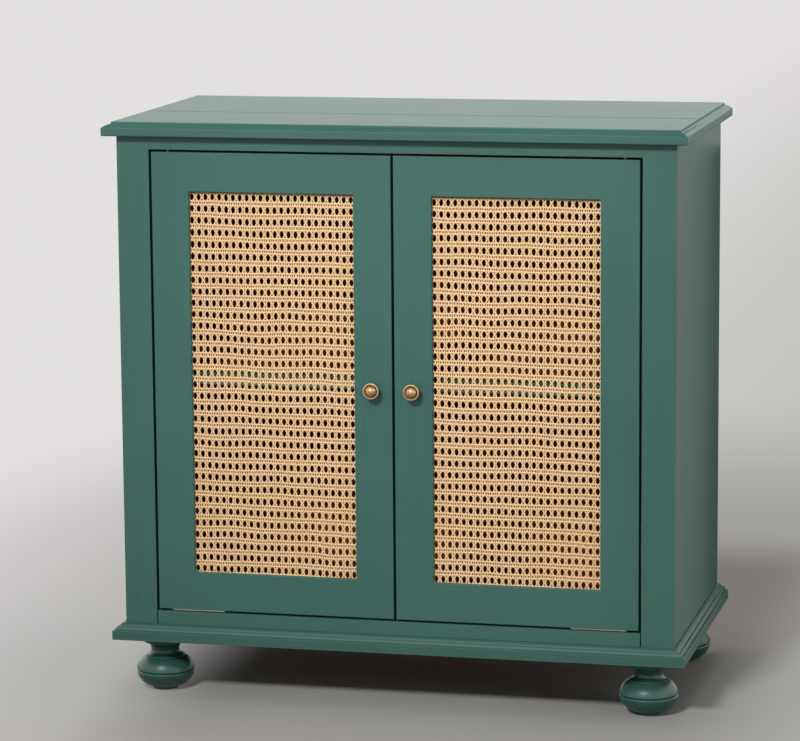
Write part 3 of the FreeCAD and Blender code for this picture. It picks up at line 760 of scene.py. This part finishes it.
def extruded_frame(name, stations, middle):
    """A closed frame whose edge goes from station to station, left open in edit mode."""
    half_width, half_height, front = stations[0]
    bpy.ops.object.select_all(action="DESELECT")
    bpy.ops.mesh.primitive_plane_add(size=1, location=(middle.x, front, middle.z),
                                     rotation=(math.pi / 2, 0, 0))
    bpy.context.object.scale = (2 * half_width, 2 * half_height, 1)
    piece = set_down(name)
    bpy.ops.object.mode_set(mode="EDIT")
    bpy.ops.mesh.delete(type="ONLY_FACE")
    bpy.ops.mesh.select_all(action="SELECT")
    for now, after in zip(stations, stations[1:]):
        go_round(now, after, middle)
    bpy.ops.mesh.select_all(action="SELECT")
    bpy.ops.mesh.remove_doubles(threshold=MERGED)
    bpy.ops.mesh.normals_make_consistent(inside=False)
    return piece


# %% [markdown]
# Where stiles and rails meet the mesh is cut, so that the streaks in the paint run along
# each board. A narrow bevel then eases the arrises, which is what catches light. The frame
# ends a hair short at the top and bottom, so that the steel leaves let into it there stand
# just proud of the paint and can be seen.

# %% One frame for each door
ARRIS = 0.9 * MM
ARRIS_FROM = math.radians(40)
LEAF_PROUD = 0.15 * MM
STILL_FLAT = math.radians(0.5)


def part_boards(piece, middle, window_half, joints):
    """Cuts a frame along its joints, and gives what lies between them the second finish."""
    for joint in joints:
        cut_across((joint, 0, 0), (1, 0, 0))
    mesh = bmesh.from_edit_mesh(piece.data)
    for face in mesh.faces:
        face.material_index = int(abs(face.calc_center_median().x - middle) < window_half)
    bmesh.update_edit_mesh(piece.data)
    bpy.ops.mesh.select_all(action="SELECT")
    bpy.ops.mesh.dissolve_limited(angle_limit=STILL_FLAT, delimit={"MATERIAL"})


def door_frame(side):
    """Makes a door's frame, and returns the left, right, bottom and top of its window."""
    prefix = side + "_door_"
    members = [prefix + member for member in ("hinge_stile", "lock_stile", "rail_bottom", "rail_top")]
    low, high = corners(*members)
    middle = (low + high) / 2
    stiles = sorted((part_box(name) for name in members[:2]), key=lambda box: box[0].x)
    left, right = stiles[0][1].x, stiles[1][0].x
    bottom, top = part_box(members[2])[1].z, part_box(members[3])[0].z
    rebate = corners(prefix + "cane_beads")
    cane_front = corners(prefix + "cane")[0].y
    front, back = low.y, high.y
    outer = ((high.x - low.x) / 2, (high.z - low.z) / 2 - LEAF_PROUD)
    window = ((right - left) / 2, (top - bottom) / 2)
    rebated = ((rebate[1].x - rebate[0].x) / 2, (rebate[1].z - rebate[0].z) / 2)
    stations = [(*outer, front), (*window, front), (*window, cane_front), (*rebated, cane_front),
                (*rebated, back), (*outer, back), (*outer, front)]
    piece = extruded_frame(prefix + "frame", stations, middle)
    part_boards(piece, middle.x, window[0], (left, right))
    bpy.ops.object.mode_set(mode="OBJECT")
    add_modifier(piece, "BEVEL", width=ARRIS, segments=3, limit_method="ANGLE", angle_limit=ARRIS_FROM)
    smooth(piece)
    add_modifier(piece, "WEIGHTED_NORMAL", keep_sharp=True)
    hand_over(piece, side + "_door", [paint_upright, paint_across], *members)
    return left, right, bottom, top


windows = {side: door_frame(side) for side in ("left", "right")}

# %% [markdown]
# ## Softened arrises on the case
#
# No maker leaves an edge knife-sharp: paint would rub off it. Where two boards meet, their
# two softened arrises make the fine dark line that shows the joint. The construction's
# boards are already the right form, so each is copied, cleaned of its loose triangles and
# bevelled. The copy then stands for the board.

# %% A copy of a board
LOOSE_TRIANGLE_ANGLE = math.radians(0.2)


def clean_copy(part_name):
    """A copy of a part without its loose triangles, left open in edit mode."""
    mesh = parts[part_name].data.copy()
    piece = bpy.data.objects.new(part_name + "_softened", mesh)
    bpy.context.collection.objects.link(piece)
    alone(piece)
    bpy.ops.mesh.customdata_custom_splitnormals_clear()
    bpy.ops.object.mode_set(mode="EDIT")
    bpy.ops.mesh.select_all(action="SELECT")
    bpy.ops.mesh.remove_doubles(threshold=MERGED)
    bpy.ops.mesh.dissolve_limited(angle_limit=LOOSE_TRIANGLE_ANGLE, use_dissolve_boundaries=True)
    bpy.ops.mesh.select_all(action="SELECT")
    bpy.ops.mesh.normals_make_consistent(inside=False)
    return piece


def close_copy(piece, part_name, finishes, sharp_from):
    """Leaves edit mode, shades the copy and lets it stand for its part."""
    bpy.ops.object.mode_set(mode="OBJECT")
    smooth(piece, sharp_from)
    add_modifier(piece, "WEIGHTED_NORMAL", keep_sharp=True)
    hand_over(piece, "cabinet", finishes, part_name)


# %% [markdown]
# On the face frame only the sharp edges that lie in the front are bevelled. The bottom rail
# is a little short between its shoulders on the real frame, so its joints stand open as two
# fine gaps. Its shoulders are drawn in before the bevel.

# %% The four boards of the face frame
FRAME_ARRIS = 0.4 * MM
SHARP_EDGE = 50
SHOULDER_DEPTH = 4 * MM
OPEN_JOINT = 1.5 * MM


def open_joints(piece):
    """Draws the front shoulders at both ends of a rail in."""
    shoulder = corners("face_frame_stile_right")[0].x
    for side in (-1, 1):
        choose(piece, "VERT", lambda corner: same(corner.co.x, side * shoulder)
               and corner.co.y < FACE + SHOULDER_DEPTH)
        bpy.ops.transform.translate(value=(-side * OPEN_JOINT, 0, 0))


def sharp_in_front(edge):
    """A sharp edge that lies in the front face of the case."""
    return (len(edge.link_faces) == 2 and edge.calc_face_angle() > math.radians(SHARP_EDGE)
            and all(same(corner.co.y, FACE) for corner in edge.verts))


def soften(part_name, finish, opened=False):
    """A copy of a board of the face frame, bevelled along its front edges."""
    piece = clean_copy(part_name)
    if opened:
        open_joints(piece)
    found = choose(piece, "EDGE", sharp_in_front)
    bpy.ops.mesh.bevel(offset=FRAME_ARRIS, offset_type="OFFSET", segments=2, affect="EDGES",
                       clamp_overlap=True)
    print(part_name, "has", found, "softened edges")
    close_copy(piece, part_name, [finish], SHARP_EDGE)


soften("face_frame_stile_left", paint_upright)
soften("face_frame_stile_right", paint_upright)
soften("face_frame_rail_top", paint_across)
soften("face_frame_rail_bottom", paint_across, opened=True)

# %% [markdown]
# The top is glued from two boards, and the joint shows as a fine line through the paint. A
# shallow chamfer on each board makes it: the board is cut a little way in from the joint, and
# everything that stands above the chamfer's foot at the joint itself is pressed down to it.
# Its slopes are painted a deeper tone than the boards, so the joint shows darker.

# %% The joint in the top
SEAM, TOP = corners("top_board_front")[1].yz
SEAM_CHAMFER = 1.8 * MM
SEAM_SHARP_EDGE = 25
SLOPE_LEAST, SLOPE_MOST = 0.5, 0.9
seam_paint = paint("seam_paint", ACROSS, shade=0.4, roughness=0.6)


def chamfer_at_seam(part_name, away):
    """A copy of a top board, chamfered where it meets the other one."""
    piece = clean_copy(part_name)
    cut_across((0, SEAM + away * SEAM_CHAMFER, 0), (0, 1, 0))
    foot = TOP - SEAM_CHAMFER
    pressed = choose(piece, "VERT", lambda corner: same(corner.co.y, SEAM) and corner.co.z > foot)
    bpy.ops.transform.resize(value=(1, 1, 0), center_override=(0, SEAM, foot))
    print(part_name, "has", pressed, "corners pressed down at the joint")
    mesh = bmesh.from_edit_mesh(piece.data)
    mesh.normal_update()
    for face in mesh.faces:
        beside_seam = abs(face.calc_center_median().y - SEAM) < SEAM_CHAMFER
        face.material_index = int(beside_seam and SLOPE_LEAST < face.normal.z < SLOPE_MOST)
    bmesh.update_edit_mesh(piece.data)
    close_copy(piece, part_name, [paint_across, seam_paint], SEAM_SHARP_EDGE)


chamfer_at_seam("top_board_front", -1)
chamfer_at_seam("top_board_rear", 1)

# %% [markdown]
# ## Woven cane
#
# Chair cane is the peel of a climbing palm, split into strips about two millimetres wide
# with a rounded, glossy outside. Six-way cane has upright pairs, level pairs, and slanting
# strands in both directions. The slants pass over the uprights and under the levels, and
# where they cross beside a hole the rising one lies on top. The holes are what is left.
#
# A picture of a weave on a flat sheet would have no thickness and no light through the
# holes, so every strand is real. One repeat of a strand is a thin box, cut into stations
# that are moved forwards and back where other strands cross. Arrays repeat it along the
# strand and then across the sheet, and the whole family is trimmed to the sheet's edge.

# %% Sizes of the weave
PITCH_ACROSS = 10.7 * MM
PITCH_DOWN = 17.8 * MM
FIRST_HOLE_ACROSS = 2.6 * MM
FIRST_HOLE_DOWN = 9.2 * MM
CANE_TUCK = 6.5 * MM
STRAND_THICK = 0.5 * MM
STRAND_FRONT_SHARE = 0.62
UPRIGHT_WIDTH, UPRIGHT_APART = 2.0 * MM, 3.0 * MM
LEVEL_WIDTH, LEVEL_APART = 2.5 * MM, 5.5 * MM
SLANT_WIDTH = 2.2 * MM
CANE_FRONT = corners("left_door_cane")[0].y
print("one repeat of the weave:", round(PITCH_ACROSS / MM, 2), "by", round(PITCH_DOWN / MM, 2), "mm")

# %% [markdown]
# Cane is straw-coloured. Each strip comes from another part of the plant, so some are paler,
# some yellower and some pinkish, and the colour also drifts along a strip. Each copy of a
# strand gets its own row of the piece's UV map, and a noise that is long in one direction of
# the map and narrow in the other then changes the colour from strip to strip. Fine fibres
# run along the strip in the same way.

# %% Cane finish
CANE_YELLOW = rgb(250, 214, 148)
CANE_PINK = rgb(255, 210, 170)
CANE_TANNED = rgb(222, 170, 104)
CANE_PALE = rgb(255, 236, 196)
STRIP_MAP = "strip"


def cane_finish():
    """Glossy cane that changes its tone from strip to strip."""
    finish = Finish("woven_cane", Specular_IOR_Level=0.5)
    strip = finish.node("ShaderNodeUVMap", {"uv_map": STRIP_MAP})

    def strip_noise(scale, detail, roughness=0.5, start=(0, 0, 0)):
        """A noise on the strip's own map, finer the larger its scale is."""
        mapping = {"Vector": strip, "Scale": scale, "Location": start}
        return finish.noise(finish.node("ShaderNodeMapping", None, mapping), 1.0, detail, roughness)

    tone = strip_noise((30, 1.7, 1), 3.0, 0.6)
    hue = strip_noise((18, 2.3, 1), 2.0, start=(9, 40, 0))
    fibre = strip_noise((60, 14, 1), 2.0)
    colour = finish.mix(finish.rise(hue, 0.38, 0.62), CANE_YELLOW, CANE_PINK)
    colour = finish.mix(finish.rise(tone, 0.55, 0.8), colour, CANE_TANNED)
    colour = finish.mix(finish.rise(tone, 0.45, 0.2) * 0.6, colour, CANE_PALE)
    finish.feed("Base Color", colour)
    finish.feed("Roughness", 0.38 + fibre * 0.22)
    finish.feed("Normal", finish.bump(fibre, 0.08 * MM))
    return finish


woven_finish = cane_finish()
print("cane:", woven_finish.material.name)

# %% [markdown]
# A strand's section is a low trapezium: a narrower front, two slopes and a flat back, which
# smooth shading turns into a rounded strip. Its wave is given as a list of depths, one for
# each station along one repeat, where a larger number lies nearer to the front.

# %% One repeat of a strand
STRIP_ROW_HALF = 0.3


def end_of_front(edge):
    """One of the two short edges at the ends of a box's front."""
    start, end = (corner.co for corner in edge.verts)
    return same(start.y, 0) and same(end.y, 0) and same(start.z, end.z)


def strand(name, repeat, width, depths):
    """One repeat of a strand along Z from the origin, with its front towards -Y."""
    half = width / 2
    piece = add_box(name, (-half, 0, 0), (half, STRAND_THICK, repeat))
    bpy.ops.object.mode_set(mode="EDIT")
    choose(piece, "EDGE", end_of_front)
    bpy.ops.transform.resize(value=(STRAND_FRONT_SHARE, 1, 1), center_override=(0, 0, 0))
    choose(piece, "FACE", lambda face: abs(face.normal.z) > 0.9)
    bpy.ops.mesh.delete(type="ONLY_FACE")
    stations = len(depths)
    for number in range(1, stations):
        cut_across((0, 0, repeat * number / stations), (0, 0, 1))
    for number in range(stations + 1):
        height = repeat * number / stations
        choose(piece, "VERT", lambda corner: same(corner.co.z, height))
        bpy.ops.transform.translate(value=(0, -depths[number % stations], 0))
    bpy.ops.mesh.select_all(action="SELECT")
    bpy.ops.mesh.normals_make_consistent(inside=False)
    bpy.ops.object.mode_set(mode="OBJECT")
    map_strip(piece, half)
    return piece


def map_strip(piece, half):
    """Maps a strand as a straight strip: its length along U, its width across V."""
    while piece.data.uv_layers:
        piece.data.uv_layers.remove(piece.data.uv_layers[0])
    layer = piece.data.uv_layers.new(name=STRIP_MAP)
    for loop in piece.data.loops:
        place = piece.data.vertices[loop.vertex_index].co
        layer.data[loop.index].uv = (place.z, STRIP_ROW_HALF * place.x / half)


# %% [markdown]
# Arrays turn one repeat into a whole family. Along a strand the copies are merged end to
# end, and share its strip. Copies beside it get strips of their own: the array moves their
# UV map on by a row. The two strips of an upright pair lie a whole row apart, and from
# column to column both move on by a small step.

# %% Repeating, turning and trimming
NEXT_ROW = 1
NEXT_COLUMN = 2 / 64


def repeat_strand(piece, count, step, rows=0.0, merge=False):
    """Copies a strand by an array, with the copies' UV rows moved apart."""
    add_modifier(piece, "ARRAY", count=count, use_relative_offset=False, use_constant_offset=True,
                 constant_offset_displace=step, use_merge_vertices=merge, merge_threshold=TOUCHING,
                 offset_v=rows, offset_u=0.0)


def long_strand(name, repeat, width, wave, count):
    """A strand that is this many repeats long."""
    piece = strand(name, repeat, width, wave)
    repeat_strand(piece, count, (0, 0, repeat), merge=True)
    return piece


def lay(piece, angle, place):
    """Turns a family about Y, moves it to its place and puts both into the mesh."""
    alone(piece)
    piece.rotation_euler = (0, angle, 0)
    piece.location = place
    bpy.ops.object.transform_apply(location=True, rotation=True, scale=True)


def trim(piece, low, high):
    """Cuts a family off at the four edges of the sheet and closes the cut ends."""
    alone(piece)
    bpy.ops.object.mode_set(mode="EDIT")
    for place, normal in ((low, (-1, 0, 0)), (low, (0, 0, -1)), (high, (1, 0, 0)), (high, (0, 0, 1))):
        bpy.ops.mesh.select_all(action="SELECT")
        bpy.ops.mesh.bisect(plane_co=place, plane_no=normal, clear_outer=True, use_fill=True)
    bpy.ops.object.mode_set(mode="OBJECT")


# %% [markdown]
# The four families differ only in their width, their wave and the direction they run in.
# Depths are in tenths of a millimetre, to keep the lists short. Uprights come forward a
# little between the two levels of a pair. Levels come forward over each column of holes.
# Slants come forward between the holes, and dive under the levels.
#
# Real cane is never quite straight, so a cloud pattern pushes the finished sheet up and down
# by a millimetre or so. It depends only on place, so all four families move together.

# %% Weave the sheet of each door
TENTH = 0.1 * MM
UPRIGHT_WAVE = [2 * TENTH, 0, 1 * TENTH, 0, 1 * TENTH, 0]
LEVEL_WAVE = [3.5 * TENTH, 2 * TENTH, 0, 2 * TENTH]
RISING_WAVE = [0, 0, 4 * TENTH, 5.5 * TENTH, 4 * TENTH, 0]
FALLING_WAVE = [0, 0, 3 * TENTH, 4.5 * TENTH, 3 * TENTH, 0]
UPRIGHT_DEPTH, FALLING_DEPTH, RISING_DEPTH, LEVEL_DEPTH = 10.5 * TENTH, 9 * TENTH, 6 * TENTH, 3.5 * TENTH
SLANT_REPEAT = math.hypot(PITCH_ACROSS, PITCH_DOWN)
SLANT_ANGLE = math.atan2(PITCH_ACROSS, PITCH_DOWN)
WANDER_SIZE = 70 * MM
WANDER_EACH_WAY = 2.4 * MM
STRAND_SHARP_EDGE = 60

wander = bpy.data.textures.new("cane_wander", "CLOUDS")
wander.noise_scale = WANDER_SIZE


def weave(side):
    """Makes the four families of one door's sheet."""
    left, right, bottom, top = windows[side]
    low = Vector((left - CANE_TUCK, 0, bottom - CANE_TUCK))
    high = Vector((right + CANE_TUCK, 0, top + CANE_TUCK))
    hole_x, hole_z = left + FIRST_HOLE_ACROSS, top - FIRST_HOLE_DOWN
    columns = math.ceil((high.x - hole_x) / PITCH_ACROSS) + 1
    rows = math.ceil((hole_z - low.z) / PITCH_DOWN) + 1
    below = hole_z - (rows + 0.5) * PITCH_DOWN
    name = side + "_door_cane_"

    uprights = long_strand(name + "uprights", PITCH_DOWN, UPRIGHT_WIDTH, UPRIGHT_WAVE, rows + 2)
    repeat_strand(uprights, 2, (UPRIGHT_APART, 0, 0), NEXT_ROW)
    repeat_strand(uprights, columns + 1, (PITCH_ACROSS, 0, 0), NEXT_COLUMN)
    first_upright = hole_x - PITCH_ACROSS / 2 - UPRIGHT_APART / 2
    lay(uprights, 0, (first_upright, CANE_FRONT + UPRIGHT_DEPTH, below))

    levels = long_strand(name + "levels", PITCH_ACROSS, LEVEL_WIDTH, LEVEL_WAVE, columns + 2)
    repeat_strand(levels, 2, (LEVEL_APART, 0, 0), NEXT_ROW)
    repeat_strand(levels, rows + 2, (PITCH_DOWN, 0, 0), NEXT_ROW)
    first_level = hole_z + PITCH_DOWN / 2 + LEVEL_APART / 2
    lay(levels, math.pi / 2, (hole_x - PITCH_ACROSS, CANE_FRONT + LEVEL_DEPTH, first_level))

    families = [uprights, levels]
    for lean, wave, depth, angle, start in (
        ("rising", RISING_WAVE, RISING_DEPTH, SLANT_ANGLE, hole_x - (rows + 1) * PITCH_ACROSS),
        ("falling", FALLING_WAVE, FALLING_DEPTH, -SLANT_ANGLE, hole_x),
    ):
        slants = long_strand(name + lean, SLANT_REPEAT, SLANT_WIDTH, wave, rows + 2)
        lay(slants, angle, (start, CANE_FRONT + depth, below))
        repeat_strand(slants, columns + rows + 2, (PITCH_ACROSS, 0, 0), NEXT_ROW)
        families.append(slants)

    for family in families:
        trim(family, low, high)
        add_modifier(family, "DISPLACE", texture=wander, texture_coords="LOCAL", direction="Z",
                     strength=2 * WANDER_EACH_WAY, mid_level=0.5)
        smooth(family, STRAND_SHARP_EDGE)
        hand_over(family, side + "_door", [woven_finish], side + "_door_cane")


for side in ("left", "right"):
    weave(side)
